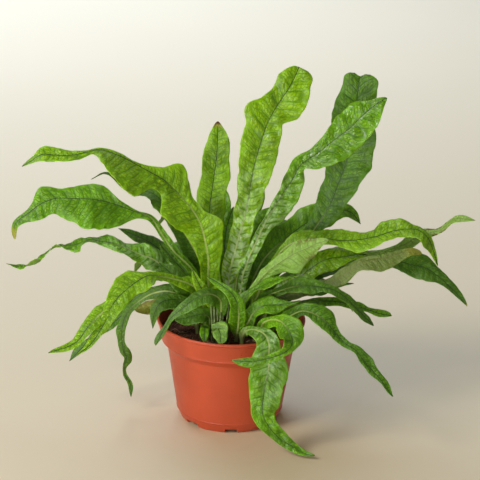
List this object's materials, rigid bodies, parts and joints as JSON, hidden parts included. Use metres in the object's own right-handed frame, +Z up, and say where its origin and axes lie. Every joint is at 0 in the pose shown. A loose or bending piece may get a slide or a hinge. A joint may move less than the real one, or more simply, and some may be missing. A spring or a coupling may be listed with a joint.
{
  "type": "potted crocodile fern",
  "caption": "Fern with long strap-shaped fronds, wavy lobed margins and netted veins, arching and hanging from a round tapered nursery pot filled with soil.",
  "frame": {"origin": "centre of the pot's foot on the floor, within a few millimetres of the centre of the whole plant's extent", "axes": "+Z up out of the pot, +X to the right when the plant is seen from the front, -Y towards the front"},
  "size_m": [0.5174, 0.2551, 0.3999],
  "materials": {
    "pot_plastic": "satin moulded polypropylene, terracotta orange",
    "soil": "damp dark peat with fibres",
    "frond_green": "semi-gloss quilted leaf, mid green with dark netted veins",
    "frond_shade": "semi-gloss quilted leaf, darker green",
    "frond_pale": "matte pale green, the underside turned to the front",
    "frond_yellowing": "matte olive yellow of an ageing leaf"
  },
  "bodies": {
    "root": {"pot": "pot_plastic", "soil": "soil", "frond_left_upper": "frond_green", "frond_left_broad": "frond_green", "frond_left_ruffled": "frond_shade", "frond_left_forked": "frond_green", "frond_left_sprout": "frond_yellowing", "frond_left_hanging": "frond_shade", "frond_left_yellow": "frond_yellowing", "frond_left_curl": "frond_shade", "frond_front_left": "frond_shade", "frond_soil_broad": "frond_shade", "frond_soil_strip": "frond_green", "frond_soil_pale": "frond_pale", "frond_front_arch": "frond_green", "frond_upright_left": "frond_green", "frond_upright_centre": "frond_green", "frond_right_tall": "frond_green", "frond_right_tall_back": "frond_green", "frond_right_behind": "frond_shade", "frond_centre_behind": "frond_shade", "frond_back_blue": "frond_shade", "frond_right_pale": "frond_pale", "frond_right_bright": "frond_green", "frond_right_far": "frond_pale", "frond_right_olive": "frond_yellowing", "frond_right_droop": "frond_shade", "frond_right_gloss": "frond_green", "frond_right_dark": "frond_shade", "frond_right_dark_tip": "frond_shade", "frond_right_yellow": "frond_yellowing", "frond_right_hanging": "frond_green", "frond_front_small": "frond_green", "frond_right_ruffled": "frond_green", "frond_front_hanging": "frond_green", "frond_front_folded": "frond_green", "frond_back_left_dark": "frond_shade", "frond_back_left_high": "frond_shade", "frond_left_dark": "frond_shade", "frond_back_centre": "frond_green", "frond_back_left": "frond_green", "frond_back_right": "frond_green", "frond_back_left_low": "frond_shade", "frond_back_right_low": "frond_shade", "frond_back_low": "frond_shade", "frond_mid_left_low": "frond_shade", "frond_mid_back_left": "frond_green", "frond_mid_back_right": "frond_green", "frond_back_tall": "frond_green", "frond_left_inner": "frond_shade", "frond_back_upright": "frond_green"}
  },
  "joints": []
}
